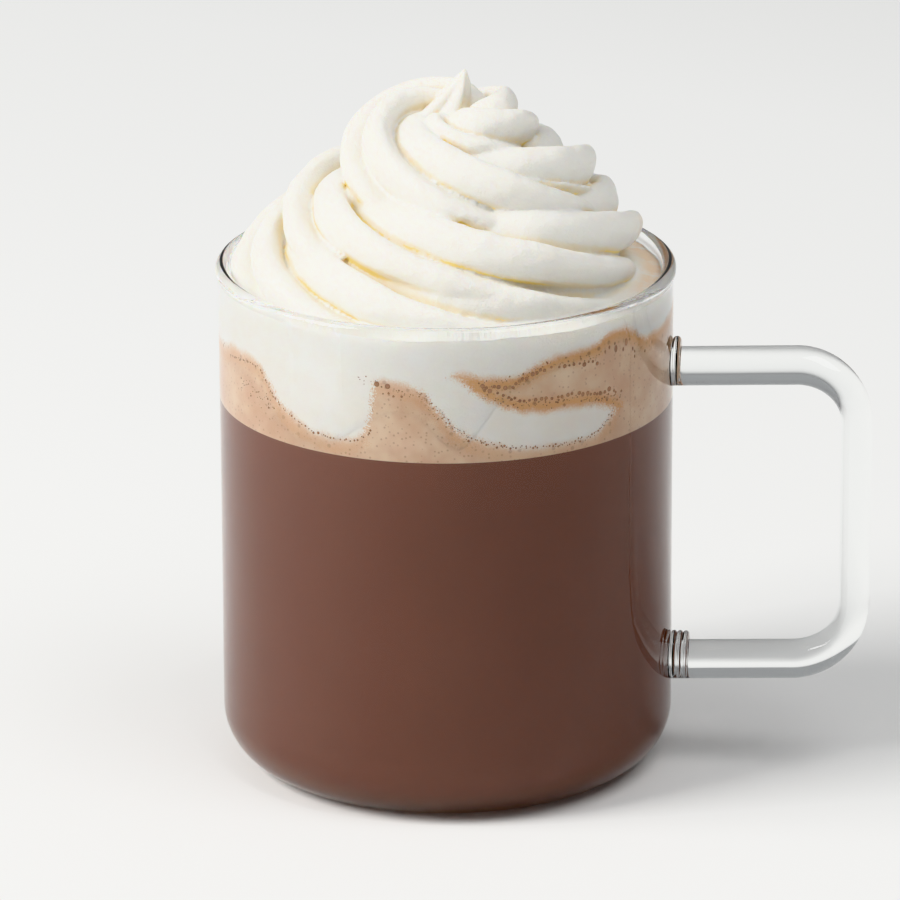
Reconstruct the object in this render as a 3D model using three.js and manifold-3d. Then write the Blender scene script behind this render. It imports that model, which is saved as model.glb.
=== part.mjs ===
// A caffe mocha in a clear glass mug with a rod handle, topped with a piped swirl of whipped cream.
// Millimetres, +Z up. The origin is the middle of the mug's flat base and the handle points along +X.

import * as THREE from 'three';
import { mergeVertices } from 'three/addons/utils/BufferGeometryUtils.js';
import Module from 'manifold-3d';

const wasm = await Module();
wasm.setup();

const TAU = 2 * Math.PI;
const degrees = TAU / 360;

// Mug: a straight glass wall with a rounded foot and a fire-polished bead for a rim.
const mugHeight = 98.5;
const wallRadius = 43;
const innerRadius = 40.8;
const rimRadius = 43.5;
const rimHeight = 3;
const footCorner = 10.5;
const floorThickness = 3.5;
const floorCorner = 8.5;
const mugSides = 64;

// Handle: a bent glass rod, thicker in its level bars than in its upright grip.
const handleTop = 80;
const handleBottom = 21;
const gripRadius = 78;
const rodStart = 41.6;
const barThickness = 7.5;
const gripThickness = 5.9;
const rodWidth = 8;
const topBend = 11;
const bottomBend = 12.4;
const barRise = 3.5 * degrees;
const rodSides = 16;

// Collars: the beads of glass where the rod is fused to the wall.
const topCollar = { height: handleTop, radius: 4.75, beads: 1, beadWidth: 1.6 };
const bottomCollar = { height: handleBottom, radius: 4.6, beads: 3, beadWidth: 1.15 };

// Layers, from the floor up. Each keeps a hair's gap to the next and to the glass.
const gap = 0.3;
const mochaTop = 72.2;
const layerSides = 64;
const fillRadius = innerRadius - gap;

// Azimuths are in degrees, counted anticlockwise from above, with 0 at the front (-Y).
// The foam reaches highest at the right and rear, and lobes of cream sink into it.
const foamTop = 84;
const foamSwells = [
  { azimuth: 58, width: 34, rise: 7 },
  { azimuth: 112, width: 26, rise: 8.5 },
  { azimuth: 215, width: 40, rise: 5 },
];
const creamLobes = [
  { azimuth: -31, width: 19, drop: 11 },
  { azimuth: 10, width: 9, drop: 10 },
  { azimuth: 162, width: 20, drop: 9 },
];

// Cream: a star-shaped rope piped in a spiral that widens as it comes down, from a drawn-up tip.
// Turns are counted from the back of the swirl, and grow as the spiral comes down anticlockwise.
const swirl = {
  tipTurn: -1,
  lastTurn: 2.72,
  backAzimuth: 187,
  eye: 7,
  eyeTurns: 0.55,
  eyePower: 0.8,
  reach: 20.3,
  reachPower: 0.42,
  reachBlend: 4,
  height: 18.5,
  pitch: 8.8,
  crown: 16,
  crownTurns: 0.3,
  crownLimit: 24,
  crownBlend: 1.5,
  tipHeight: 37.7,
  tipTurns: 0.36,
  tipPower: 1.6,
  ropeRadius: 12,
  ropeThin: 6.5,
  ropeThinTurns: 1.05,
  taper: 0.16,
  taperPower: 0.84,
  tailFrom: 2.35,
  tailLoss: 0.55,
  uprightFrom: -0.5,
  uprightTo: 0,
};

// The star that the nozzle cuts. Its lobes twist around the rope as it is laid, and two of them
// run together towards the top.
const star = {
  lobes: 6,
  topLobes: 5,
  mergeFrom: 0.4,
  mergeTo: 1.2,
  groove: 0.5,
  lobePower: 0.7,
  topTwist: 0.88,
  twist: 1.12,
  topEnd: 0.45,
  topBlend: 0.08,
  crestTurn: 0.378,
  crestAngle: -38 * degrees,
  rimLean: 0.3,
  footFlare: 0.18,
  footAngle: -60,
  footWidth: 18,
};
const swirlLean = 0.1;
const core = {
  bottom: -6,
  bottomRadius: 30,
  outerTurn: 2.5,
  innerTurn: 0.2,
  plugRadius: 3.4,
  plugHeight: 28,
  top: 30.5,
};
const turnSteps = 20;
const lobeSteps = 6;

const clearGlass = new THREE.MeshStandardMaterial({
  color: 0xdfe9e6, roughness: 0.04, metalness: 0, transparent: true, opacity: 0.3,
});
const mochaBrown = new THREE.MeshStandardMaterial({ color: 0x6f4a3a, roughness: 0.35, metalness: 0 });
const foamTan = new THREE.MeshStandardMaterial({ color: 0xd8c0aa, roughness: 0.6, metalness: 0 });
const creamWhite = new THREE.MeshStandardMaterial({ color: 0xf6f1e6, roughness: 0.55, metalness: 0 });

function softPlus(x, width) {
  return x > 30 * width ? x : width * Math.log1p(Math.exp(x / width));
}

// Turns a closed geometry into a solid: shared corners are merged and flat slivers dropped.
function solidOf(geometry) {
  const bare = geometry.clone();
  bare.deleteAttribute('normal');
  bare.deleteAttribute('uv');
  const merged = mergeVertices(bare, 1e-3);
  const corners = merged.index.array;
  const kept = [];
  for (let i = 0; i < corners.length; i += 3) {
    const [a, b, c] = corners.slice(i, i + 3);
    if (a !== b && b !== c && c !== a) kept.push(a, b, c);
  }
  const mesh = new wasm.Mesh({
    numProp: 3,
    vertProperties: new Float32Array(merged.attributes.position.array),
    triVerts: new Uint32Array(kept),
  });
  return new wasm.Manifold(mesh);
}

function geometryOf(solid) {
  const mesh = solid.getMesh();
  const geometry = new THREE.BufferGeometry();
  geometry.setAttribute('position', new THREE.BufferAttribute(new Float32Array(mesh.vertProperties), 3));
  geometry.setIndex(new THREE.BufferAttribute(new Uint32Array(mesh.triVerts), 1));
  geometry.computeVertexNormals();
  return geometry;
}

function unite(solids) {
  return solids.reduce((whole, next) => whole.add(next));
}

// Keeps the one outer skin of a solid, so small hollows that joining seals inside it are filled.
function outerSkin(solid) {
  return solid.decompose().reduce((kept, next) => (next.volume() > kept.volume() ? next : kept));
}

// Moves every vertex of a geometry to the place that the function gives for it.
function reshape(geometry, place) {
  const position = geometry.attributes.position;
  const vertex = new THREE.Vector3();
  for (let i = 0; i < position.count; i += 1) {
    vertex.fromBufferAttribute(position, i);
    place(vertex);
    position.setXYZ(i, vertex.x, vertex.y, vertex.z);
  }
  return geometry;
}

function addArc(outline, x, y, radius, from, to, steps) {
  for (let i = 0; i <= steps; i += 1) {
    const angle = (from + (to - from) * i / steps) * degrees;
    outline.push(new THREE.Vector2(x + radius * Math.cos(angle), y + radius * Math.sin(angle)));
  }
}

// A turned solid about Z from an outline of (radius, height) points that starts and ends on the axis.
function turned(outline, sides) {
  return solidOf(new THREE.LatheGeometry(outline, sides).rotateX(TAU / 4));
}

function mugBody() {
  const outline = [new THREE.Vector2(0, 0)];
  const beadHalf = (rimRadius - innerRadius) / 2;
  const beadMiddle = rimRadius - beadHalf;
  addArc(outline, wallRadius - footCorner, footCorner, footCorner, -90, 0, 5);
  outline.push(new THREE.Vector2(wallRadius, mugHeight - rimHeight));
  addArc(outline, beadMiddle, mugHeight - beadHalf, beadHalf, -30, 180, 7);
  addArc(outline, innerRadius - floorCorner, floorThickness + floorCorner, floorCorner, 0, -90, 4);
  outline.push(new THREE.Vector2(0, floorThickness));
  return turned(outline, mugSides);
}

// The rod's centre line in the XZ plane: out along the top bar, down the grip and back.
function handlePath() {
  const reach = gripRadius - rodStart;
  const rise = reach * Math.tan(barRise);
  const path = new THREE.Path();
  const topStraight = gripRadius - topBend;
  const bottomStraight = gripRadius - bottomBend;
  path.moveTo(rodStart, handleTop - rise / 2);
  path.lineTo(topStraight, handleTop);
  path.absarc(topStraight, handleTop - topBend, topBend, 90 * degrees, 0, true);
  path.lineTo(gripRadius, handleBottom + bottomBend);
  path.absarc(bottomStraight, handleBottom + bottomBend, bottomBend, 0, -90 * degrees, true);
  path.lineTo(rodStart, handleBottom - rise / 2);
  return path;
}

function handleRod() {
  const path = handlePath();
  const steps = 38;
  const rod = new THREE.CylinderGeometry(1, 1, 1, rodSides, steps);
  return solidOf(reshape(rod, (vertex) => {
    const along = vertex.y + 0.5;
    const middle = path.getPointAt(along);
    const heading = path.getTangentAt(along);
    const thickness = barThickness + (gripThickness - barThickness) * heading.y ** 2;
    const across = vertex.z * thickness / 2;
    const side = vertex.x * rodWidth / 2;
    vertex.set(middle.x + heading.y * across, side, middle.y - heading.x * across);
  }));
}

// A stack of rounded beads about the rod, from inside the wall outwards along +X.
function collar({ height, radius, beads, beadWidth }) {
  const bulge = beadWidth / 2;
  const outline = [new THREE.Vector2(0, rodStart), new THREE.Vector2(radius - bulge, rodStart)];
  for (let i = 0; i < beads; i += 1) {
    addArc(outline, radius - bulge, wallRadius + beadWidth * (i + 0.5), bulge, -80, 80, 4);
  }
  outline.push(new THREE.Vector2(0, wallRadius + beadWidth * beads));
  const ring = new THREE.LatheGeometry(outline, rodSides);
  return solidOf(ring.rotateZ(-TAU / 4).rotateX(TAU / 4).translate(0, 0, height));
}

function glassMug() {
  return unite([mugBody(), handleRod(), collar(topCollar), collar(bottomCollar)]);
}

function azimuthOf(x, y) {
  return Math.atan2(x, -y) / degrees;
}

function azimuthBump(azimuth, { azimuth: middle, width }) {
  const away = ((azimuth - middle + 540) % 360 + 360) % 360 - 180;
  return Math.exp(-((away / width) ** 2));
}

// The wavy level where the cream lies on the foam, at an azimuth and a share of the radius.
function foamLevel(azimuth, share) {
  let level = foamTop;
  for (const swell of foamSwells) level += swell.rise * azimuthBump(azimuth, swell);
  for (const lobe of creamLobes) level -= lobe.drop * azimuthBump(azimuth, lobe);
  return foamTop + (level - foamTop) * share ** 2;
}

// A round layer whose bottom and top heights may change with the azimuth.
function layer(bottomAt, topAt) {
  const disc = new THREE.CylinderGeometry(fillRadius, fillRadius, 1, layerSides);
  return solidOf(reshape(disc, (vertex) => {
    const x = vertex.x;
    const y = vertex.z;
    const share = Math.hypot(x, y) / fillRadius;
    const azimuth = azimuthOf(x, y);
    vertex.set(x, y, vertex.y > 0 ? bottomAt(azimuth, share) : topAt(azimuth, share));
  }));
}

function mocha() {
  const outline = [new THREE.Vector2(0, floorThickness + gap)];
  const corner = floorCorner - gap;
  addArc(outline, fillRadius - corner, floorThickness + gap + corner, corner, -90, 0, 4);
  outline.push(new THREE.Vector2(fillRadius, mochaTop), new THREE.Vector2(0, mochaTop));
  return turned(outline, layerSides);
}

function foam() {
  return layer(() => mochaTop + gap, (azimuth, share) => foamLevel(azimuth, share) - gap / 2);
}

// The cream inside the glass, from the foam up to just under the swirl.
function creamBed() {
  const bedTop = mugHeight - 3.2;
  return layer(
    (azimuth, share) => foamLevel(azimuth, share) + gap / 2,
    (azimuth, share) => Math.max(bedTop + 6 * (1 - share), foamLevel(azimuth, share) + 1.2),
  );
}

// Where the rope's middle runs, in turns, with its radius and its azimuth in radians.
function ropeAt(turn) {
  const laid = turn - swirl.tipTurn;
  const eye = swirl.eye * Math.min(laid / swirl.eyeTurns, 1) ** swirl.eyePower;
  const spread = swirl.reach * Math.max(turn, 0) ** swirl.reachPower;
  const distance = (eye ** swirl.reachBlend + spread ** swirl.reachBlend) ** (1 / swirl.reachBlend);
  const free = swirl.height - swirl.pitch * turn + swirl.crown * Math.exp(-turn / swirl.crownTurns);
  const drawn = Math.max(1 - laid / swirl.tipTurns, 0) ** swirl.tipPower;
  const tipRise = (swirl.tipHeight - swirl.crownLimit) * drawn;
  const height = free - softPlus(free - swirl.crownLimit, swirl.crownBlend) + tipRise;
  const tail = Math.max(turn - swirl.tailFrom, 0) / (swirl.lastTurn - swirl.tailFrom);
  const full = swirl.ropeRadius - swirl.ropeThin * Math.exp(-laid / swirl.ropeThinTurns);
  const tapered = 1 - Math.exp(-((laid / swirl.taper) ** swirl.taperPower));
  const azimuth = swirl.backAzimuth * degrees + TAU * turn;
  return {
    middle: new THREE.Vector3(distance * Math.sin(azimuth), -distance * Math.cos(azimuth), height),
    radius: full * tapered * (1 - swirl.tailLoss * tail ** 2),
    azimuth,
  };
}

// The plane that the star lies in: square to the path near the tip, and upright further on.
function ropeFrame(turn) {
  const step = 0.004;
  const { middle, radius, azimuth } = ropeAt(turn);
  const before = ropeAt(Math.max(turn - step, swirl.tipTurn)).middle;
  const heading = ropeAt(turn + step).middle.sub(before).normalize();
  const level = new THREE.Vector3(Math.cos(azimuth), Math.sin(azimuth), 0);
  const upright = THREE.MathUtils.smoothstep(turn, swirl.uprightFrom, swirl.uprightTo);
  heading.lerp(level, upright).normalize();
  const outward = new THREE.Vector3(Math.sin(azimuth), -Math.cos(azimuth), 0);
  outward.addScaledVector(heading, -outward.dot(heading)).normalize();
  return { middle, radius, outward, upward: outward.clone().cross(heading) };
}

// How far the star has twisted, in turns, from where one of its lobes lies at the crest angle.
function starTwist(turn) {
  const late = softPlus(turn - star.topEnd, star.topBlend);
  const lateAtCrest = softPlus(star.crestTurn - star.topEnd, star.topBlend);
  return star.topTwist * (turn - star.crestTurn) + (star.twist - star.topTwist) * (late - lateAtCrest);
}

function lobeCount(turn) {
  const parted = THREE.MathUtils.smoothstep(turn, star.mergeFrom, star.mergeTo);
  return star.topLobes + (star.lobes - star.topLobes) * parted;
}

// A point on the rope's skin, at an angle around the star. The lobes' rims lean to one side,
// and a lobe flares a little where it is pressed down on the turn below.
function ropePoint(turn, starAngle) {
  const { middle, radius, outward, upward } = ropeFrame(turn);
  const lobe = Math.abs(Math.cos(lobeCount(turn) * starAngle / 2)) ** star.lobePower;
  const angle = starAngle + star.crestAngle - TAU * starTwist(turn) + star.rimLean * (lobe - 0.5);
  const foot = azimuthBump(angle / degrees, { azimuth: star.footAngle, width: star.footWidth });
  const reach = radius * (1 - star.groove * (1 - lobe)) * (1 + star.footFlare * foot * lobe);
  return middle.clone()
    .addScaledVector(outward, reach * Math.cos(angle))
    .addScaledVector(upward, reach * Math.sin(angle));
}

// A stretch of rope between two turns, short enough not to meet itself.
function ropeStretch(from, to) {
  const steps = Math.max(Math.round((to - from) * turnSteps), 1);
  const tube = new THREE.CylinderGeometry(1, 1, 1, star.lobes * lobeSteps, steps);
  return solidOf(reshape(tube, (vertex) => {
    const turn = from + (to - from) * (vertex.y + 0.5);
    const onAxis = Math.hypot(vertex.x, vertex.z) < 0.5;
    const starAngle = Math.atan2(vertex.z, vertex.x);
    vertex.copy(onAxis ? ropeAt(turn).middle : ropePoint(turn, starAngle));
    vertex.x += swirlLean * vertex.z;
    vertex.z += mugHeight;
  }));
}

// The middle of the swirl, up to the line that the rope's middle follows, so no hollow stays inside.
function swirlCore() {
  const steps = 10;
  const outline = [new THREE.Vector2(0, core.bottom), new THREE.Vector2(core.bottomRadius, core.bottom)];
  for (let i = 0; i <= steps; i += 1) {
    const { middle } = ropeAt(core.outerTurn + (core.innerTurn - core.outerTurn) * i / steps);
    outline.push(new THREE.Vector2(Math.hypot(middle.x, middle.y), middle.z));
  }
  outline.push(new THREE.Vector2(core.plugRadius, core.plugHeight), new THREE.Vector2(0, core.top));
  const filling = new THREE.LatheGeometry(outline, 24).rotateX(TAU / 4);
  return solidOf(reshape(filling, (vertex) => {
    vertex.x += swirlLean * vertex.z;
    vertex.z += mugHeight;
  }));
}

// Everything inside the mug's bore, and everything above its rim.
function roomForCream() {
  const wide = 60;
  const outline = [
    new THREE.Vector2(0, mochaTop),
    new THREE.Vector2(fillRadius, mochaTop),
    new THREE.Vector2(fillRadius, mugHeight + 0.5),
    new THREE.Vector2(wide, mugHeight + 12),
    new THREE.Vector2(wide, mugHeight + wide),
    new THREE.Vector2(0, mugHeight + wide),
  ];
  return turned(outline, layerSides);
}

function whippedCream() {
  const stretches = [];
  const quarter = 0.25;
  for (let turn = swirl.tipTurn; turn < swirl.lastTurn - 1e-6; turn += quarter) {
    stretches.push(ropeStretch(turn, Math.min(turn + quarter, swirl.lastTurn)));
  }
  const above = layer(
    (azimuth, share) => foamLevel(azimuth, share) + gap / 2,
    () => mugHeight + 60,
  ).add(roomForCream().intersect(layer(() => mugHeight, () => mugHeight + 80)));
  const piped = unite([creamBed(), swirlCore(), ...stretches]);
  return outerSkin(solidOf(geometryOf(piped.intersect(roomForCream()).intersect(above))));
}

function named(name, solid, material) {
  const mesh = new THREE.Mesh(geometryOf(solid), material);
  mesh.name = name;
  return mesh;
}

const caffeMocha = new THREE.Group();
caffeMocha.name = 'caffe_mocha';
caffeMocha.add(named('glass_mug', glassMug(), clearGlass));
caffeMocha.add(named('mocha', mocha(), mochaBrown));
caffeMocha.add(named('milk_foam', foam(), foamTan));
caffeMocha.add(named('whipped_cream', whippedCream(), creamWhite));

export default caffeMocha;
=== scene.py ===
import math
import random
import time

import bmesh
import bpy
import numpy as np
from mathutils import Matrix, Vector
from mathutils.bvhtree import BVHTree


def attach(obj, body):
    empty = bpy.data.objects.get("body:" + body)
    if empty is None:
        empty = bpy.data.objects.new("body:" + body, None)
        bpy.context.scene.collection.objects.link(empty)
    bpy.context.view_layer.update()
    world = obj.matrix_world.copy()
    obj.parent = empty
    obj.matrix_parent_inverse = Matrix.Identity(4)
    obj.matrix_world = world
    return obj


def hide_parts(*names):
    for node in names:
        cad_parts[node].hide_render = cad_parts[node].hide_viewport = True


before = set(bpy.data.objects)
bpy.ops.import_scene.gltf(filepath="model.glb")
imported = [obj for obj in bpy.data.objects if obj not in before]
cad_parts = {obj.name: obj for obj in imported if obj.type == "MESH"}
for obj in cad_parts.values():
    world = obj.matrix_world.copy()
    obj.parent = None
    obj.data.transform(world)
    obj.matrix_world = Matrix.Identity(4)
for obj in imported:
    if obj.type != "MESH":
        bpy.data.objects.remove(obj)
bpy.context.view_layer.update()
began = time.perf_counter()
print("frame loaded")

# Sizes are in millimetres and azimuths in degrees anticlockwise from above, with 0 at the front (-Y).
mm = 0.001
fullTurn = 2 * math.pi

mug = {
    "height": 98.5,
    "wallRadius": 43.0,
    "innerRadius": 40.8,
    "rimRadius": 43.5,
    "rimHeight": 3.0,
    "footCorner": 10.5,
    "floorThickness": 3.5,
    "floorCorner": 8.5,
    "sides": 288,
}

handle = {
    "top": 80.0,
    "bottom": 21.0,
    "gripRadius": 78.0,
    "rodStart": 41.6,
    "barThickness": 7.5,
    "gripThickness": 5.9,
    "rodWidth": 8.0,
    "topBend": 11.0,
    "bottomBend": 12.4,
    "barRise": 3.5,
    "sides": 56,
    "steps": 180,
}

collars = [
    {"height": 80.0, "radius": 4.75, "beads": 1, "beadWidth": 1.6},
    {"height": 21.0, "radius": 4.6, "beads": 3, "beadWidth": 1.15},
]

fill = {
    "radius": 40.94,      # just into the glass, so no air shows between them
    "mochaTop": 72.2,
    "foamTop": 84.0,
    "overlap": 0.15,
    "sides": 288,
    "rings": 14,
}
foamSwells = [
    {"azimuth": 58, "width": 34, "rise": 7.0},
    {"azimuth": 112, "width": 26, "rise": 8.5},
    {"azimuth": 215, "width": 40, "rise": 5.0},
]
creamLobes = [
    {"azimuth": -31, "width": 19, "drop": 11.0},
    {"azimuth": 10, "width": 9, "drop": 10.0},
    {"azimuth": 162, "width": 20, "drop": 9.0},
]


# Shapes

def smoothStep(x, low, high):
    share = min(max((x - low) / (high - low), 0.0), 1.0)
    return share * share * (3 - 2 * share)


def softPlus(x, width):
    return x if x > 30 * width else width * math.log1p(math.exp(x / width))


def arc(x, y, radius, start, end, steps):
    angles = [math.radians(start + (end - start) * i / steps) for i in range(steps + 1)]
    return [(x + radius * math.cos(a), y + radius * math.sin(a)) for a in angles]


def closeUp(bm):
    bmesh.ops.remove_doubles(bm, verts=bm.verts, dist=1e-5)
    bmesh.ops.holes_fill(bm, edges=[edge for edge in bm.edges if edge.is_boundary], sides=0)
    bmesh.ops.recalc_face_normals(bm, faces=bm.faces)
    return bm


def turnedSolid(outline, sides, alongX=False):
    bm = bmesh.new()
    corners = [bm.verts.new((r, 0, h)) for r, h in outline]
    edges = [bm.edges.new(pair) for pair in zip(corners, corners[1:])]
    bmesh.ops.spin(bm, geom=corners + edges, axis=(0, 0, 1), cent=(0, 0, 0), angle=fullTurn,
                   steps=sides, use_merge=True, use_duplicate=False)
    if alongX:
        bmesh.ops.rotate(bm, verts=bm.verts, cent=(0, 0, 0), matrix=Matrix.Rotation(fullTurn / 4, 3, "Y"))
    return closeUp(bm)


# A grid rolled into a closed tube. place() says where a share across and a share along lie.
def wrappedSolid(across, along, place):
    bm = bmesh.new()
    bmesh.ops.create_grid(bm, x_segments=across, y_segments=along, size=0.5)
    for vertex in bm.verts:
        vertex.co = place(vertex.co.x + 0.5, vertex.co.y + 0.5)
    return closeUp(bm)


def objectFrom(bm, name):
    bmesh.ops.scale(bm, vec=(mm, mm, mm), verts=bm.verts)
    mesh = bpy.data.meshes.new(name)
    bm.to_mesh(mesh)
    bm.free()
    piece = bpy.data.objects.new(name, mesh)
    bpy.context.scene.collection.objects.link(piece)
    return piece


# Gives the piece the mesh that its modifiers make, and drops them.
def applyModifiers(piece):
    bpy.context.view_layer.update()
    shaped = piece.evaluated_get(bpy.context.evaluated_depsgraph_get())
    mesh = bpy.data.meshes.new_from_object(shaped)
    piece.modifiers.clear()
    piece.data = mesh
    mesh.name = piece.name
    return piece


def combine(piece, other, operation):
    cut = piece.modifiers.new("combine", "BOOLEAN")
    cut.operation = operation
    cut.solver = "MANIFOLD"
    cut.object = other
    applyModifiers(piece)
    bpy.data.objects.remove(other)
    return piece


def finishPiece(piece, material, nodes, sharpAngle=40):
    piece.data.materials.clear()
    piece.data.materials.append(material)
    piece.data.shade_smooth()
    piece.data.set_sharp_from_angle(angle=math.radians(sharpAngle))
    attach(piece, "root")
    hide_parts(*nodes)
    count = sum(len(face.vertices) - 2 for face in piece.data.polygons)
    print(piece.name, "has", count, "triangles at", round(time.perf_counter() - began, 1), "s")
    return piece


# Material nodes

def newMaterial(name):
    material = bpy.data.materials.new(name)
    material.use_nodes = True
    tree = material.node_tree
    return material, tree, tree.nodes["Principled BSDF"]


def addNode(tree, kind, settings=None, inputs=None):
    made = tree.nodes.new(kind)
    for name, value in (settings or {}).items():
        setattr(made, name, value)
    for name, value in (inputs or {}).items():
        feed(tree, made.inputs[name], value)
    return made


def feed(tree, socket, value):
    if isinstance(value, bpy.types.NodeSocket):
        tree.links.new(value, socket)
    else:
        socket.default_value = value


def calc(tree, operation, *values):
    made = addNode(tree, "ShaderNodeMath", {"operation": operation})
    for socket, value in zip(made.inputs, values):
        feed(tree, socket, value)
    return made.outputs[0]


def remap(tree, value, low, high, newLow=0.0, newHigh=1.0):
    made = addNode(tree, "ShaderNodeMapRange", {"interpolation_type": "SMOOTHSTEP"})
    for socket, given in zip(made.inputs, (value, low, high, newLow, newHigh)):
        feed(tree, socket, given)
    return made.outputs[0]


def blendColours(tree, share, first, second):
    made = addNode(tree, "ShaderNodeMix", {"data_type": "RGBA"})
    feed(tree, made.inputs[0], share)
    feed(tree, made.inputs[6], first)
    feed(tree, made.inputs[7], second)
    return made.outputs[2]


def objectPoint(tree):
    return addNode(tree, "ShaderNodeTexCoord").outputs["Object"]


def noise(tree, point, size, detail=2.0, roughness=0.5):
    made = addNode(tree, "ShaderNodeTexNoise", None, {
        "Vector": point, "Scale": 1 / (size * mm), "Detail": detail, "Roughness": roughness})
    return made.outputs["Fac"]


def bump(tree, shader, height, strength, depth):
    made = addNode(tree, "ShaderNodeBump", None, {
        "Height": height, "Strength": strength, "Distance": depth * mm})
    tree.links.new(made.outputs["Normal"], shader.inputs["Normal"])


# Marbling where cream and foam lie against the glass: heights of edges by azimuth.
marbling = {
    "lowest": 70.0,
    "highest": 100.0,
    "foamEdge": [(-180, 84), (-150, 88), (-125, 86), (-100, 83.5), (-72, 84.4), (-60, 86), (-51, 85.8),
                 (-45, 82.3), (-39, 78.6), (-32, 76.2), (-23, 75.0), (-16, 76), (-12.8, 79.5), (-10.5, 87.4),
                 (-5, 87), (0, 85.8), (4, 82.5), (8, 79.5), (13, 76.9), (19, 75.0), (31, 73.6), (44, 73.6),
                 (52, 75.6), (58, 80), (63, 85), (80, 88), (105, 92), (130, 88), (150, 80), (165, 76),
                 (180, 84)],
    "bandTop": [(-180, 70), (2, 70), (6, 86), (11, 88.9), (18, 87.9), (24, 88.0), (31, 89.6), (39, 91.0),
                (48, 91.3), (55, 93.2), (63, 91.5), (72, 89), (90, 90), (110, 94), (130, 88), (150, 70),
                (180, 70)],
    "bandBottom": [(-180, 95), (4, 90), (11, 88.4), (14, 86.4), (18, 84.6), (24, 82.4), (31, 81.3),
                   (44, 81.0), (52, 79.5), (60, 76), (70, 72), (150, 70), (180, 95)],
    "white": (0.94, 0.93, 0.90, 1),
    "thinWhite": (0.92, 0.89, 0.83, 1),
    "tan": (0.70, 0.45, 0.295, 1),
    "paleTan": (0.84, 0.66, 0.49, 1),
    "stain": (0.72, 0.37, 0.13, 1),
    "pit": (0.33, 0.14, 0.055, 1),
}


def heightCurve(tree, turnShare, points):
    made = addNode(tree, "ShaderNodeFloatCurve", None, {"Value": turnShare})
    curve = made.mapping.curves[0]
    span = marbling["highest"] - marbling["lowest"]
    shares = [((azimuth + 180) / 360, (height - marbling["lowest"]) / span) for azimuth, height in points]
    curve.points[0].location = shares[0]
    curve.points[1].location = shares[-1]
    for share in shares[1:-1]:
        curve.points.new(*share)
    for point in curve.points:
        point.handle_type = "AUTO_CLAMPED"
    made.mapping.update()
    return calc(tree, "MULTIPLY_ADD", made.outputs[0], span, marbling["lowest"])


# How tan the wall is (0 white cream, 1 tan foam), and how stained its edges are.
def marblingShares(tree, point):
    wobble = addNode(tree, "ShaderNodeTexNoise", None, {
        "Vector": point, "Scale": 1 / (3.2 * mm), "Detail": 4.0, "Roughness": 0.6})
    axes = addNode(tree, "ShaderNodeSeparateXYZ", None, {"Vector": point})
    away = addNode(tree, "ShaderNodeSeparateXYZ", None, {"Vector": wobble.outputs["Color"]})
    turned = calc(tree, "ARCTAN2", axes.outputs["X"], calc(tree, "MULTIPLY", axes.outputs["Y"], -1.0))
    turned = calc(tree, "MULTIPLY_ADD", turned, 1 / fullTurn, 0.5)
    grainy = addNode(tree, "ShaderNodeTexNoise", None, {
        "Vector": point, "Scale": 1 / (0.28 * mm), "Detail": 2.0})
    grain = addNode(tree, "ShaderNodeSeparateXYZ", None, {"Vector": grainy.outputs["Color"]})
    turned = calc(tree, "ADD", turned, calc(tree, "MULTIPLY_ADD", away.outputs["X"], 0.012, -0.006))
    turned = calc(tree, "ADD", turned, calc(tree, "MULTIPLY_ADD", grain.outputs["X"], 0.02, -0.01))
    height = calc(tree, "MULTIPLY", axes.outputs["Z"], 1 / mm)
    height = calc(tree, "ADD", height, calc(tree, "MULTIPLY_ADD", away.outputs["Y"], 1.6, -0.8))
    height = calc(tree, "ADD", height, calc(tree, "MULTIPLY_ADD", grain.outputs["Y"], 1.2, -0.6))
    foamEdge = calc(tree, "SUBTRACT", heightCurve(tree, turned, marbling["foamEdge"]), height)
    bandTop = calc(tree, "SUBTRACT", heightCurve(tree, turned, marbling["bandTop"]), height)
    bandBottom = calc(tree, "SUBTRACT", height, heightCurve(tree, turned, marbling["bandBottom"]))
    inside = calc(tree, "MAXIMUM", foamEdge, calc(tree, "MINIMUM", bandTop, bandBottom))
    tanShare = remap(tree, inside, -1.2, 2.2)
    stain = calc(tree, "MULTIPLY", remap(tree, inside, -1.6, 0.5), remap(tree, inside, 0.6, 3.4, 1.0, 0.0))
    bandStain = remap(tree, calc(tree, "MINIMUM", bandTop, bandBottom), -1.6, 0.6)
    stain = calc(tree, "MULTIPLY", stain, calc(tree, "MULTIPLY_ADD", bandStain, 0.4, 0.5))
    return tanShare, stain


# Round pits where the surface cuts fine bubbles. Only the share of cells above rare has one.
def pitShare(tree, point, size, rare):
    cells = addNode(tree, "ShaderNodeTexVoronoi", None, {
        "Vector": point, "Scale": 1 / (size * mm), "Randomness": 1.0})
    chance = addNode(tree, "ShaderNodeSeparateXYZ", None, {"Vector": cells.outputs["Color"]}).outputs["X"]
    inside = remap(tree, cells.outputs["Distance"], 0.2, 0.34, 1.0, 0.0)
    return calc(tree, "MULTIPLY", inside, calc(tree, "GREATER_THAN", chance, rare))


def wallColour(tree, point):
    tanShare, stain = marblingShares(tree, point)
    cloudy = remap(tree, noise(tree, point, 9.0, 3.0, 0.6), 0.3, 0.75)
    milky = blendColours(tree, cloudy, marbling["white"], marbling["thinWhite"])
    foamy = blendColours(tree, cloudy, marbling["tan"], marbling["paleTan"])
    colour = blendColours(tree, tanShare, milky, foamy)
    colour = blendColours(tree, stain, colour, marbling["stain"])
    pits = calc(tree, "MULTIPLY", pitShare(tree, point, 0.75, 0.55), tanShare)
    pits = calc(tree, "MAXIMUM", calc(tree, "MULTIPLY", pits, 0.5),
                calc(tree, "MULTIPLY", pitShare(tree, point, 1.5, 0.62), stain))
    return blendColours(tree, calc(tree, "MULTIPLY", pits, 0.75), colour, marbling["pit"])


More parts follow.
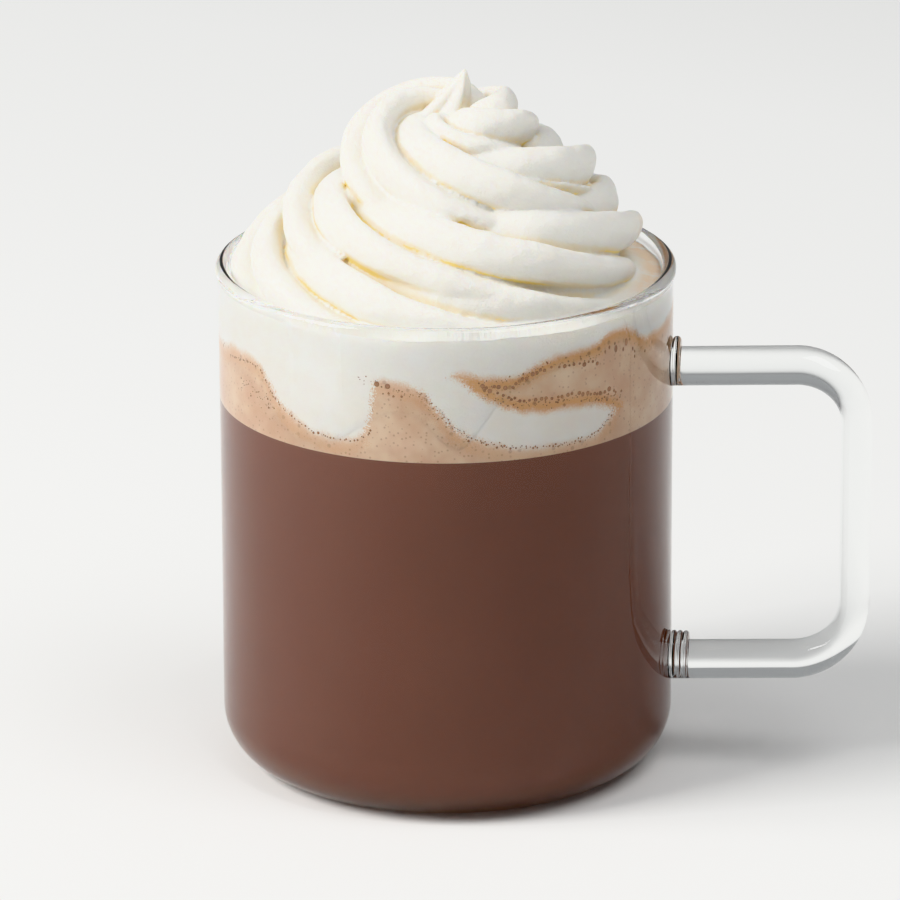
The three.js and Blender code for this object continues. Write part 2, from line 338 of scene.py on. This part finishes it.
def glassMaterial():
    material, tree, shader = newMaterial("clear_glass")
    shader.inputs["Base Color"].default_value = (0.99, 1.0, 0.995, 1)
    shader.inputs["Roughness"].default_value = 0.0
    shader.inputs["IOR"].default_value = 1.47
    shader.inputs["Specular IOR Level"].default_value = 0.25
    shader.inputs["Transmission Weight"].default_value = 1.0
    point = objectPoint(tree)
    bump(tree, shader, noise(tree, point, 9.0, 1.0), 0.12, 0.35)
    return material


def mochaMaterial():
    material, tree, shader = newMaterial("mocha_drink")
    point = objectPoint(tree)
    cloudy = noise(tree, point, 22.0, 3.0)
    grain = noise(tree, point, 0.5, 3.0, 0.7)
    colour = blendColours(tree, cloudy, (0.165, 0.046, 0.020, 1), (0.195, 0.059, 0.029, 1))
    colour = blendColours(tree, remap(tree, grain, 0.55, 0.8), colour, (0.205, 0.068, 0.035, 1))
    tree.links.new(colour, shader.inputs["Base Color"])
    shader.inputs["Roughness"].default_value = 0.55
    shader.inputs["Sheen Weight"].default_value = 0.6
    shader.inputs["Sheen Roughness"].default_value = 0.45
    shader.inputs["Sheen Tint"].default_value = (1.0, 0.68, 0.5, 1)
    return material


def foamMaterial():
    material, tree, shader = newMaterial("milk_foam")
    point = objectPoint(tree)
    tree.links.new(wallColour(tree, point), shader.inputs["Base Color"])
    shader.inputs["Roughness"].default_value = 0.55
    shader.inputs["Subsurface Weight"].default_value = 0.3
    shader.inputs["Subsurface Radius"].default_value = (1.0, 0.7, 0.5)
    shader.inputs["Subsurface Scale"].default_value = 1.2 * mm
    bump(tree, shader, noise(tree, point, 0.5, 3.0, 0.6), 0.3, 0.15)
    return material


def bubbleMaterial():
    material, tree, shader = newMaterial("foam_bubbles")
    point = objectPoint(tree)
    # Painted light and shade: each bubble is painted lighter where it faces straight out and darker towards
    # its rim.
    facing = addNode(tree, "ShaderNodeNewGeometry").outputs["Normal"]
    level = addNode(tree, "ShaderNodeVectorMath", {"operation": "MULTIPLY"}, {0: point, 1: (1, 1, 0)})
    outward = addNode(tree, "ShaderNodeVectorMath", {"operation": "NORMALIZE"}, {0: level.outputs[0]})
    middle = addNode(tree, "ShaderNodeVectorMath", {"operation": "DOT_PRODUCT"},
                     {0: facing, 1: outward.outputs[0]})
    middle = remap(tree, middle.outputs["Value"], 0.75, 0.985)
    shade = remap(tree, noise(tree, point, 4.0, 1.0), 0.3, 0.7)
    shadedRim = blendColours(tree, shade, (0.20, 0.085, 0.04, 1), (0.30, 0.13, 0.055, 1))
    litCentre = blendColours(tree, shade, (0.36, 0.17, 0.085, 1), (0.50, 0.25, 0.12, 1))
    tree.links.new(blendColours(tree, middle, shadedRim, litCentre), shader.inputs["Base Color"])
    shader.inputs["Roughness"].default_value = 0.25
    return material


def creamMaterial():
    material, tree, shader = newMaterial("whipped_cream")
    point = objectPoint(tree)
    axes = addNode(tree, "ShaderNodeSeparateXYZ", None, {"Vector": point})
    around = addNode(tree, "ShaderNodeCombineXYZ", None, {"X": axes.outputs["X"], "Y": axes.outputs["Y"]})
    reach = addNode(tree, "ShaderNodeVectorMath", {"operation": "LENGTH"}, {0: around.outputs[0]})
    reach = reach.outputs["Value"]
    belowRim = remap(tree, axes.outputs["Z"], 0.0985, 0.0975)
    onWall = calc(tree, "MULTIPLY", remap(tree, reach, 0.0404, 0.0408), belowRim)
    # Painted shade and light: creases are painted a darker warm tone by how shut in each point is, and the
    # deepest gaps a bright yellow glow of scattered light.
    hollow = addNode(tree, "ShaderNodeAttribute", {"attribute_name": "hollow"}).outputs["Fac"]
    creamWithPaintedCreaseShade = blendColours(tree, remap(tree, hollow, 0.35, 0.9), (0.83, 0.815, 0.765, 1), (0.86, 0.77, 0.60, 1))
    creamWithPaintedCreaseShade = blendColours(tree, remap(tree, hollow, 0.88, 1.0), creamWithPaintedCreaseShade, (0.99, 0.78, 0.30, 1))
    turned = calc(tree, "ARCTAN2", axes.outputs["X"], calc(tree, "MULTIPLY", axes.outputs["Y"], -1.0))
    stained = calc(tree, "MULTIPLY", remap(tree, turned, 1.15, 1.5), remap(tree, turned, 2.3, 2.8, 1.0, 0.0))
    stained = calc(tree, "MULTIPLY", stained, remap(tree, reach, 0.0355, 0.0385))
    stained = calc(tree, "MULTIPLY", stained, remap(tree, noise(tree, point, 5.0, 4.0, 0.6), 0.3, 0.55))
    creamWithPaintedCreaseShade = blendColours(tree, stained, creamWithPaintedCreaseShade, marbling["paleTan"])
    colour = blendColours(tree, onWall, creamWithPaintedCreaseShade, wallColour(tree, point))
    tree.links.new(colour, shader.inputs["Base Color"])
    shader.inputs["Roughness"].default_value = 0.42
    shader.inputs["Specular IOR Level"].default_value = 0.4
    shader.inputs["Subsurface Weight"].default_value = 0.4
    shader.inputs["Subsurface Radius"].default_value = (1.0, 0.72, 0.42)
    shader.inputs["Subsurface Scale"].default_value = 2.0 * mm
    fine = calc(tree, "MULTIPLY_ADD", noise(tree, point, 0.4, 4.0, 0.65), 0.9, noise(tree, point, 3.0, 3.0))
    bump(tree, shader, fine, 0.55, 0.4)
    return material


# Mug

def bodyOutline():
    beadHalf = (mug["rimRadius"] - mug["innerRadius"]) / 2
    wall, foot, corner = mug["wallRadius"], mug["footCorner"], mug["floorCorner"]
    outline = [(0, 0)]
    outline += arc(wall - foot, foot, foot, -90, 0, 24)
    outline += [(wall, h) for h in range(int(foot) + 8, int(mug["height"] - mug["rimHeight"]), 8)]
    outline.append((wall, mug["height"] - mug["rimHeight"]))
    outline += arc(mug["rimRadius"] - beadHalf, mug["height"] - beadHalf, beadHalf, -30, 180, 22)
    outline += arc(mug["innerRadius"] - corner, mug["floorThickness"] + corner, corner, 0, -90, 20)
    outline.append((0, mug["floorThickness"]))
    return outline


# The rod's middle and heading at a share of its length: bar, bend, grip, bend, bar.
def handleStretches():
    rise = (handle["gripRadius"] - handle["rodStart"]) * math.tan(math.radians(handle["barRise"]))
    topStart = Vector((handle["rodStart"], handle["top"] - rise / 2))
    topEnd = Vector((handle["gripRadius"] - handle["topBend"], handle["top"]))
    bottomStart = Vector((handle["gripRadius"] - handle["bottomBend"], handle["bottom"]))
    bottomEnd = Vector((handle["rodStart"], handle["bottom"] - rise / 2))
    points = [topStart + (topEnd - topStart) * i / 12 for i in range(12)]
    points += [Vector(p) for p in arc(topEnd.x, topEnd.y - handle["topBend"], handle["topBend"], 90, 0, 40)]
    gripTop = handle["top"] - handle["topBend"]
    gripBottom = handle["bottom"] + handle["bottomBend"]
    grip = gripBottom - gripTop
    points += [Vector((handle["gripRadius"], gripTop + grip * i / 12)) for i in range(1, 12)]
    points += [Vector(p) for p in arc(bottomStart.x, gripBottom, handle["bottomBend"], 0, -90, 40)]
    points += [bottomStart + (bottomEnd - bottomStart) * i / 12 for i in range(1, 13)]
    return points


def handleRod():
    points = handleStretches()
    lengths = [0.0]
    for a, b in zip(points, points[1:]):
        lengths.append(lengths[-1] + (b - a).length)

    def at(length):
        x = float(np.interp(length, lengths, [p.x for p in points]))
        z = float(np.interp(length, lengths, [p.y for p in points]))
        return Vector((x, z))

    def place(across, along):
        length = along * lengths[-1]
        middle = at(length)
        heading = (at(min(length + 0.8, lengths[-1])) - at(max(length - 0.8, 0))).normalized()
        thick = handle["barThickness"] + (handle["gripThickness"] - handle["barThickness"]) * heading.y ** 2
        outward = Vector((-heading.y, heading.x)) * (math.cos(across * fullTurn) * thick / 2)
        side = math.sin(across * fullTurn) * handle["rodWidth"] / 2
        return Vector((middle.x + outward.x, side, middle.y + outward.y))

    return wrappedSolid(handle["sides"], handle["steps"], place)


def collarSolid(collar):
    bulge = collar["beadWidth"] / 2
    inner = collar["radius"] - bulge
    outline = [(0, handle["rodStart"]), (inner, handle["rodStart"])]
    for i in range(collar["beads"]):
        outline += arc(inner, mug["wallRadius"] + collar["beadWidth"] * (i + 0.5), bulge, -80, 80, 12)
    outline.append((0, mug["wallRadius"] + collar["beadWidth"] * collar["beads"]))
    bm = turnedSolid(outline, 72, alongX=True)
    bmesh.ops.translate(bm, vec=(0, 0, collar["height"]), verts=bm.verts)
    return bm


def makeMug():
    piece = objectFrom(turnedSolid(bodyOutline(), mug["sides"]), "mug_with_handle")
    combine(piece, objectFrom(handleRod(), "rod"), "UNION")
    for collar in collars:
        combine(piece, objectFrom(collarSolid(collar), "collar"), "UNION")
    return finishPiece(piece, glassMaterial(), ["glass_mug"], 50)


# Drink

def azimuthBump(azimuth, mark):
    away = (azimuth - mark["azimuth"] + 540) % 360 - 180
    return math.exp(-((away / mark["width"]) ** 2))


def foamLevel(azimuth, share):
    level = fill["foamTop"]
    level += sum(swell["rise"] * azimuthBump(azimuth, swell) for swell in foamSwells)
    level -= sum(lobe["drop"] * azimuthBump(azimuth, lobe) for lobe in creamLobes)
    return fill["foamTop"] + (level - fill["foamTop"]) * share ** 2


# A round layer in rings, whose bottom and top heights follow the azimuth.
def layerSolid(radius, bottomAt, topAt):
    rings = fill["rings"]
    rows = 2 * rings + 1

    def place(across, along):
        step = along * rows
        share = step / rings if step <= rings else (rows - step) / rings
        height = bottomAt if step <= rings + 0.01 else topAt
        azimuth = across * 360 - 180
        turned = math.radians(azimuth)
        level = height(azimuth, share)
        return Vector((radius * share * math.sin(turned), -radius * share * math.cos(turned), level))

    return wrappedSolid(fill["sides"], rows, place)


def makeMocha():
    corner = mug["floorCorner"]
    bottom = mug["floorThickness"] - fill["overlap"]
    radius = fill["radius"] - 0.02
    outline = [(0, bottom)]
    outline += arc(radius - corner, bottom + corner, corner, -90, 0, 20)
    outline += [(radius, h) for h in range(20, 70, 10)]
    outline += [(radius, fill["mochaTop"] + fill["overlap"]), (0, fill["mochaTop"] + fill["overlap"])]
    piece = objectFrom(turnedSolid(outline, fill["sides"]), "mocha_drink")
    return finishPiece(piece, mochaMaterial(), ["mocha"])


def makeFoam():
    bm = layerSolid(fill["radius"] - 0.01, lambda azimuth, share: fill["mochaTop"], foamLevel)
    return finishPiece(objectFrom(bm, "foam_layer"), foamMaterial(), ["milk_foam"])


# Cream

swirl = {
    "tipTurn": -1.0,
    "lastTurn": 2.72,
    "backAzimuth": 187.0,
    "eye": 7.0,
    "eyeFrom": -1.0,
    "eyeTo": -0.45,
    "eyePower": 0.8,
    "reach": 20.3,
    "reachPower": 0.42,
    "reachBlend": 4.0,
    "height": 18.5,
    "pitch": 8.8,
    "crown": 16.0,
    "crownTurns": 0.3,
    "crownLimit": 24.0,
    "crownBlend": 1.5,
    "tipHeight": 37.7,
    "tipTurns": 0.36,
    "tipPower": 1.6,
    "ropeRadius": 12.0,
    "ropeThin": 6.5,
    "ropeThinTurns": 1.05,
    "taper": 0.16,
    "taperPower": 0.84,
    "uprightFrom": -0.5,
    "uprightTo": 0.0,
    "lobes": 6,
    "topLobes": 5,
    "mergeFrom": 0.4,
    "mergeTo": 1.2,
    "twist": 1.12,
    "topTwist": 0.88,
    "topEnd": 0.45,
    "topBlend": 0.08,
    "crestTurn": 0.378,
    "crestAngle": -38.0,
    "groove": 0.5,
    "lobePower": 0.7,
    "rimLean": 0.3,
    "footFlare": 0.18,
    "footAngle": -60.0,
    "footWidth": 18.0,
    "tailFrom": 2.35,
    "tailLoss": 0.55,
    "lean": 0.1,
}

# The cream's surface: how finely it is meshed, and how uneven it is as (size, depth).
creamSkin = {
    "voxel": 0.36,
    "kept": 0.5,
    "softening": 0.5,
    "softenings": 5,
    "lumps": (8.0, 0.9),
    "fluff": (1.3, 0.14),
}

core = {
    "bottom": -6.0,
    "bottomRadius": 30.0,
    "outerTurn": 2.5,
    "innerTurn": 0.2,
    "plugRadius": 3.4,
    "plugHeight": 28.0,
    "top": 30.5,
}

# Cream pressed in between two turns of the rope, which leaves only a shallow hollow there.
pressed = {
    "turn": 0.333,
    "outward": 2.4,
    "radius": 4.0,
}


def ropeAt(turn):
    spread = swirl["reach"] * max(turn, 0) ** swirl["reachPower"]
    grown = min(max((turn - swirl["eyeFrom"]) / (swirl["eyeTo"] - swirl["eyeFrom"]), 0), 1)
    eye = swirl["eye"] * grown ** swirl["eyePower"]
    distance = (eye ** swirl["reachBlend"] + spread ** swirl["reachBlend"]) ** (1 / swirl["reachBlend"])
    free = swirl["height"] - swirl["pitch"] * turn + swirl["crown"] * math.exp(-turn / swirl["crownTurns"])
    height = free - softPlus(free - swirl["crownLimit"], swirl["crownBlend"])
    late = max(1 - (turn - swirl["tipTurn"]) / swirl["tipTurns"], 0) ** swirl["tipPower"]
    height += (swirl["tipHeight"] - swirl["crownLimit"]) * late
    laid = turn - swirl["tipTurn"]
    radius = swirl["ropeRadius"] - swirl["ropeThin"] * math.exp(-laid / swirl["ropeThinTurns"])
    radius *= 1 - math.exp(-((laid / swirl["taper"]) ** swirl["taperPower"]))
    tail = max(turn - swirl["tailFrom"], 0) / (swirl["lastTurn"] - swirl["tailFrom"])
    radius *= 1 - swirl["tailLoss"] * tail ** 2
    azimuth = math.radians(swirl["backAzimuth"]) + fullTurn * turn
    return Vector((distance * math.sin(azimuth), -distance * math.cos(azimuth), height)), radius, azimuth


# Where the rope's rings stand: across the path near the tip, and upright further on.
def ringAt(turn):
    step = 0.004
    middle, radius, azimuth = ropeAt(turn)
    heading = (ropeAt(turn + step)[0] - ropeAt(max(turn - step, swirl["tipTurn"]))[0]).normalized()
    level = Vector((math.cos(azimuth), math.sin(azimuth), 0))
    heading = heading.lerp(level, smoothStep(turn, swirl["uprightFrom"], swirl["uprightTo"])).normalized()
    outward = Vector((math.sin(azimuth), -math.cos(azimuth), 0))
    outward = (outward - heading * outward.dot(heading)).normalized()
    return middle, radius, outward, outward.cross(heading)


def starTurn(turn):
    late = softPlus(turn - swirl["topEnd"], swirl["topBlend"])
    late -= softPlus(swirl["crestTurn"] - swirl["topEnd"], swirl["topBlend"])
    return swirl["topTwist"] * (turn - swirl["crestTurn"]) + (swirl["twist"] - swirl["topTwist"]) * late


# The rope's star has six lobes, and two of them run together towards the top.
def lobeCount(turn):
    parted = smoothStep(turn, swirl["mergeFrom"], swirl["mergeTo"])
    return swirl["topLobes"] + (swirl["lobes"] - swirl["topLobes"]) * parted


def starPoint(ring, twisted, lobes, star):
    middle, radius, outward, upward = ring
    lobe = abs(math.cos(lobes * star / 2)) ** swirl["lobePower"]
    angle = star + math.radians(swirl["crestAngle"]) - fullTurn * twisted + swirl["rimLean"] * (lobe - 0.5)
    degrees = (math.degrees(angle) + 180) % 360 - 180
    foot = lobe * math.exp(-(((degrees - swirl["footAngle"]) / swirl["footWidth"]) ** 2))
    reach = radius * (1 - swirl["groove"] * (1 - lobe)) * (1 + swirl["footFlare"] * foot)
    point = middle + outward * (reach * math.cos(angle)) + upward * (reach * math.sin(angle))
    return Vector((point.x + swirl["lean"] * point.z, point.y, mug["height"] + point.z))


def pipedRope():
    rings = {}
    span = swirl["lastTurn"] - swirl["tipTurn"]

    def place(across, along):
        turn = swirl["tipTurn"] + 1e-4 + span * along ** 1.15
        if along not in rings:
            rings[along] = (ringAt(turn), starTurn(turn), lobeCount(turn))
        return starPoint(*rings[along], (across - 0.5) * fullTurn)

    return wrappedSolid(168, 560, place)


# The middle of the swirl, up to the line that the rope's middle follows.
def swirlCore():
    outline = [(0, core["bottom"]), (core["bottomRadius"], core["bottom"])]
    for i in range(31):
        turn = core["outerTurn"] + (core["innerTurn"] - core["outerTurn"]) * i / 30
        middle = ropeAt(turn)[0]
        outline.append((middle.xy.length, middle.z))
    outline += [(core["plugRadius"], core["plugHeight"]), (0, core["top"])]
    bm = turnedSolid(outline, 96)
    for vertex in bm.verts:
        vertex.co.x += swirl["lean"] * vertex.co.z
        vertex.co.z += mug["height"]
    return bm


def pressedCream():
    above, below = ropeAt(pressed["turn"])[0], ropeAt(pressed["turn"] + 1)[0]
    middle = (above + below) / 2
    middle += Vector((middle.x, middle.y, 0)).normalized() * pressed["outward"]
    bm = bmesh.new()
    bmesh.ops.create_icosphere(bm, subdivisions=3, radius=pressed["radius"])
    place = (middle.x + swirl["lean"] * middle.z, middle.y, mug["height"] + middle.z)
    bmesh.ops.translate(bm, vec=place, verts=bm.verts)
    return bm


def creamRoom():
    wide = 60
    radius = fill["radius"]
    top = mug["height"]

    def bottomAt(azimuth, share):
        return foamLevel(azimuth, share) - fill["overlap"]

    inside = objectFrom(layerSolid(radius, bottomAt, lambda azimuth, share: top + 60), "room")
    outline = [(0, 60), (radius, 60), (radius, top + 2)]
    outline += [(wide, top + 30), (wide, top + wide), (0, top + wide)]
    above = objectFrom(turnedSolid(outline, fill["sides"]), "above")
    lift = objectFrom(turnedSolid([(0, top), (wide, top), (wide, top + wide), (0, top + wide)], 96), "lift")
    combine(inside, lift, "UNION")
    return combine(inside, above, "INTERSECT")


millimetresPerDegree = 0.75    # along the wall, near enough to space the bubbles
bubbleDepth = 0.09

# Bubbles caught between foam and glass, in rows of (azimuth, height), with their diameters.
bubbleRows = [
    {"row": [(-11.4, 87.2), (-10.0, 86.9), (-7.5, 86.8)], "count": 3, "size": (1.0, 1.25), "stray": 0.04},
    {"row": [(-9.6, 85.8), (-5.2, 85.0)], "count": 7, "size": (0.3, 0.6), "stray": 0.7},
    {"row": [(-15.9, 87.6), (-7.1, 86.7), (-1.5, 85.2)], "count": 26, "size": (0.16, 0.34), "stray": 0.9},
    {"row": [(15.5, 87.0), (22.0, 86.7), (24.8, 86.7), (26.5, 87.5), (29.8, 88.5), (33.8, 89.2), (45.1, 88.8),
             (49.3, 88.2)], "count": 34, "size": (0.45, 0.95), "stray": 0.35},
    {"row": [(15.5, 87.4), (26.5, 88.0), (33.8, 89.8), (49.3, 89.6)], "count": 60, "size": (0.15, 0.35),
     "stray": 1.0},
    {"row": [(44.0, 90.2), (51.0, 89.9), (54.6, 90.9), (62.5, 87.6), (68.6, 87.1)], "count": 20,
     "size": (0.35, 0.95), "stray": 1.3, "tall": 1.7},
    {"row": [(15.5, 86.9), (18.4, 85.8), (22.0, 84.9), (25.8, 83.6), (33.3, 83.3), (40.8, 83.4), (46.7, 82.6),
             (53.0, 82.2), (58.6, 80.9)], "count": 42, "size": (0.5, 1.0), "stray": 0.3},
    {"row": [(17.0, 85.2), (25.8, 82.7), (40.8, 82.6), (58.0, 79.6)], "count": 90, "size": (0.16, 0.42),
     "stray": 0.9},
    {"row": [(-65.2, 84.0), (-54.2, 85.2), (-49.1, 85.2), (-46.4, 83.2), (-43.5, 81.0), (-39.0, 78.6)],
     "count": 34, "size": (0.25, 0.55), "stray": 0.25},
    {"row": [(-39.0, 78.6), (-33.9, 77.0), (-29.2, 75.8), (-23.3, 75.3), (-17.9, 75.4), (-13.5, 76.7),
             (-12.0, 78.6)], "count": 36, "size": (0.25, 0.62), "stray": 0.25},
    {"row": [(-58.0, 80.5), (-50.0, 80.0), (-43.0, 78.0)], "count": 36, "size": (0.18, 0.42), "stray": 1.6},
    {"row": [(-0.4, 86.0), (3.2, 83.6), (7.9, 79.9), (12.6, 77.3)], "count": 60, "size": (0.14, 0.34),
     "stray": 0.9},
    {"row": [(12.6, 77.1), (18.6, 75.6), (24.7, 74.5), (31.2, 74.1), (39.4, 73.8), (47.0, 74.1), (52.1, 76.0),
             (54.7, 78.4)], "count": 95, "size": (0.18, 0.45), "stray": 0.5},
    {"row": [(84.0, 86.0), (100.0, 89.0), (125.0, 87.5), (150.0, 79.0), (180.0, 83.0), (215.0, 87.0),
             (250.0, 84.5), (290.0, 84.4)], "count": 150, "size": (0.25, 0.8), "stray": 0.7},
]


def alongRow(row, share):
    flat = [(azimuth * millimetresPerDegree, height) for azimuth, height in row]
    spans = [math.dist(a, b) for a, b in zip(flat, flat[1:])]
    left = share * sum(spans)
    for a, b, span in zip(row, row[1:], spans):
        if left <= span or b == row[-1]:
            part = min(left / span, 1)
            return a[0] + (b[0] - a[0]) * part, a[1] + (b[1] - a[1]) * part
        left -= span


def makeBubbles():
    draw = random.Random(11)
    dome = bmesh.new()
    bmesh.ops.create_uvsphere(dome, u_segments=14, v_segments=8, radius=1)
    domeMesh = bpy.data.meshes.new("dome")
    dome.to_mesh(domeMesh)
    bm = bmesh.new()
    taken = []
    for line in bubbleRows:
        for i in range(line["count"]):
            azimuth, height = alongRow(line["row"], (i + draw.uniform(0.1, 0.9)) / line["count"])
            azimuth += draw.gauss(0, line["stray"]) / millimetresPerDegree * 0.5
            height += draw.gauss(0, line["stray"]) * 0.5
            low, high = line["size"]
            radius = (low + (high - low) * draw.random() ** 2) / 2
            tall = line.get("tall", 1.0)
            spot = (azimuth * millimetresPerDegree, height)
            if any(math.dist(spot, other[:2]) < radius * tall + other[2] for other in taken):
                continue
            taken.append((*spot, radius))
            turned = math.radians(azimuth)
            wall = Vector((math.sin(turned), -math.cos(turned), 0)) * fill["radius"]
            place = Matrix.Translation((wall.x, wall.y, height)) @ Matrix.Rotation(turned, 4, "Z")
            bubble = domeMesh.copy()
            bubble.transform(place @ Matrix.Diagonal((radius, bubbleDepth, radius * tall, 1)))
            bm.from_mesh(bubble)
            bpy.data.meshes.remove(bubble)
    bpy.data.meshes.remove(domeMesh)
    dome.free()
    piece = objectFrom(bm, "foam_bubbles")
    return finishPiece(piece, bubbleMaterial(), ["milk_foam"])


# Keeps the one large body, without the scraps that lie shut in its creases.
def dropScraps(piece):
    bm = bmesh.new()
    bm.from_mesh(piece.data)
    bmesh.ops.remove_doubles(bm, verts=bm.verts, dist=2e-4 * mm)
    left = set(bm.verts)
    bodies = []
    while left:
        body = set()
        waiting = [left.pop()]
        while waiting:
            vertex = waiting.pop()
            body.add(vertex)
            joined = {edge.other_vert(vertex) for edge in vertex.link_edges} & left
            left -= joined
            waiting += joined
        bodies.append(body)
    largest = max(bodies, key=len)
    scraps = [vertex for body in bodies if body is not largest for vertex in body]
    bmesh.ops.delete(bm, geom=scraps, context="VERTS")
    bmesh.ops.recalc_face_normals(bm, faces=bm.faces)
    bm.to_mesh(piece.data)
    bm.free()


creaseShadeRays = {
    "rays": 14,
    "rayLength": 9.0,
    "rayLift": 0.1,
    "lowest": mug["height"] - 3,
    "gain": 1.25,
}


# How shut in each vertex is, from short rays cast over the half sphere above it. It sets the painted shade
# and painted yellow glow in the cream's creases.
def markCreaseShade(piece):
    mesh = piece.data
    count = len(mesh.vertices)
    places = np.empty(count * 3)
    normals = np.empty(count * 3)
    mesh.vertices.foreach_get("co", places)
    mesh.vertex_normals.foreach_get("vector", normals)
    places, normals = places.reshape(-1, 3), normals.reshape(-1, 3)
    mesh.calc_loop_triangles()
    tree = BVHTree.FromPolygons([tuple(p) for p in places], [tuple(t.vertices) for t in mesh.loop_triangles])
    draw = np.random.default_rng(5)
    spread = draw.normal(size=(creaseShadeRays["rays"], 3))
    spread /= np.linalg.norm(spread, axis=1)[:, None]
    far = creaseShadeRays["rayLength"] * mm
    shut = np.zeros(count)
    for i in range(count):
        if places[i, 2] < creaseShadeRays["lowest"] * mm:
            continue
        normal = normals[i]
        start = Vector(places[i] + normal * creaseShadeRays["rayLift"] * mm)
        total = 0.0
        for ray in spread:
            hit = tree.ray_cast(start, Vector(ray + normal * 1.02), far)[3]
            if hit is not None:
                total += 1 - hit / far
        shut[i] = total / len(spread)
    attribute = mesh.attributes.new("hollow", "FLOAT", "POINT")
    attribute.data.foreach_set("value", np.clip(shut * creaseShadeRays["gain"], 0, 1).astype(np.float32))


def makeCream():
    rope = objectFrom(pipedRope(), "cream_swirl")
    top = mug["height"]
    bed = objectFrom(layerSolid(fill["radius"] + 1.5, lambda azimuth, share: fill["mochaTop"],
                                lambda azimuth, share: top - 2.6 + 6 * (1 - share)), "bed")
    middle = objectFrom(swirlCore(), "core")
    filling = objectFrom(pressedCream(), "pressed")
    bm = bmesh.new()
    for part in (rope, bed, middle, filling):
        bm.from_mesh(part.data)
    bm.to_mesh(rope.data)
    bm.free()
    for part in (bed, middle, filling):
        bpy.data.objects.remove(part)
    remesh = rope.modifiers.new("remesh", "REMESH")
    remesh.mode = "VOXEL"
    remesh.voxel_size = creamSkin["voxel"] * mm
    smooth = rope.modifiers.new("smooth", "SMOOTH")
    smooth.factor = creamSkin["softening"]
    smooth.iterations = creamSkin["softenings"]
    for name in ("lumps", "fluff"):
        size, depth = creamSkin[name]
        clouds = bpy.data.textures.new(name, "CLOUDS")
        clouds.noise_scale = size * mm
        uneven = rope.modifiers.new(name, "DISPLACE")
        uneven.texture = clouds
        uneven.strength = depth * mm
    thin = rope.modifiers.new("thin", "DECIMATE")
    thin.ratio = creamSkin["kept"]
    applyModifiers(rope)
    print("cream remeshed at", round(time.perf_counter() - began, 1), "s")
    combine(rope, creamRoom(), "INTERSECT")
    print("cream cut at", round(time.perf_counter() - began, 1), "s")
    dropScraps(rope)
    markCreaseShade(rope)
    return finishPiece(rope, creamMaterial(), ["whipped_cream"], 60)


makeMug()
makeMocha()
makeFoam()
makeCream()
makeBubbles()
print("pieces made")

# Studio

studio = {
    "floor": (0.84, 0.84, 0.83, 1),
    "world": (0.92, 0.94, 0.96, 1),
    "worldStrength": 0.35,
    "aim": 0.07,
    "lights": [
        {"name": "key", "azimuth": -66, "elevation": 34, "distance": 1.4, "size": 0.8, "power": 27,
         "colour": (1.0, 0.99, 0.97)},
        {"name": "top", "azimuth": 60, "elevation": 60, "distance": 1.6, "size": 1.0, "power": 12.5,
         "colour": (1.0, 1.0, 1.0)},
    ],
}


def makeFloor():
    bm = bmesh.new()
    bmesh.ops.create_grid(bm, x_segments=1, y_segments=1, size=20000)
    floor = objectFrom(bm, "studio_floor")
    material, tree, shader = newMaterial("studio_floor")
    shader.inputs["Base Color"].default_value = studio["floor"]
    shader.inputs["Roughness"].default_value = 0.7
    shader.inputs["Specular IOR Level"].default_value = 0.2
    floor.data.materials.append(material)


def makeWorld():
    world = bpy.data.worlds.new("studio")
    world.use_nodes = True
    background = world.node_tree.nodes["Background"]
    background.inputs["Color"].default_value = studio["world"]
    background.inputs["Strength"].default_value = studio["worldStrength"]
    bpy.context.scene.world = world


def direction(azimuth, elevation):
    a, e = math.radians(azimuth), math.radians(elevation)
    return Vector((math.sin(a) * math.cos(e), -math.cos(a) * math.cos(e), math.sin(e)))


def addLight(values):
    data = bpy.data.lights.new(values["name"], "AREA")
    data.shape = "RECTANGLE"
    data.size = data.size_y = values["size"]
    data.energy = values["power"]
    data.color = values["colour"]
    light = bpy.data.objects.new(values["name"], data)
    toLight = direction(values["azimuth"], values["elevation"])
    light.location = Vector((0, 0, studio["aim"])) + toLight * values["distance"]
    light.rotation_euler = toLight.to_track_quat("Z", "Y").to_euler()
    bpy.context.scene.collection.objects.link(light)


# The photograph's viewpoint: a long lens a little above the mug, turned towards the handle.
view = {
    "azimuth": 7.0,
    "elevation": 18.98,
    "roll": 0.224,
    "distance": 1400.0,
    "targetSide": 0.66,
    "targetHeight": 60.54,
    "lens": 294.44,
}


def makeCamera():
    a = math.radians(view["azimuth"])
    roll = math.radians(view["roll"])
    back = direction(view["azimuth"], view["elevation"])
    right = Vector((math.cos(a), math.sin(a), 0))
    up = back.cross(right)
    rolledRight = right * math.cos(roll) - up * math.sin(roll)
    rolledUp = right * math.sin(roll) + up * math.cos(roll)
    data = bpy.data.cameras.new("camera")
    data.sensor_width = 36
    data.lens = view["lens"]
    data.clip_start = 0.05
    data.clip_end = 60
    camera = bpy.data.objects.new("camera", data)
    turn = Matrix((rolledRight, rolledUp, back)).transposed().to_4x4()
    target = right * view["targetSide"] + Vector((0, 0, view["targetHeight"]))
    turn.translation = (target + back * view["distance"]) * mm
    camera.matrix_world = turn
    bpy.context.scene.collection.objects.link(camera)
    bpy.context.scene.camera = camera


makeFloor()
makeWorld()
for values in studio["lights"]:
    addLight(values)
makeCamera()
bpy.context.scene.view_settings.view_transform = "Khronos PBR Neutral"
bpy.context.view_layer.update()
print("studio made")
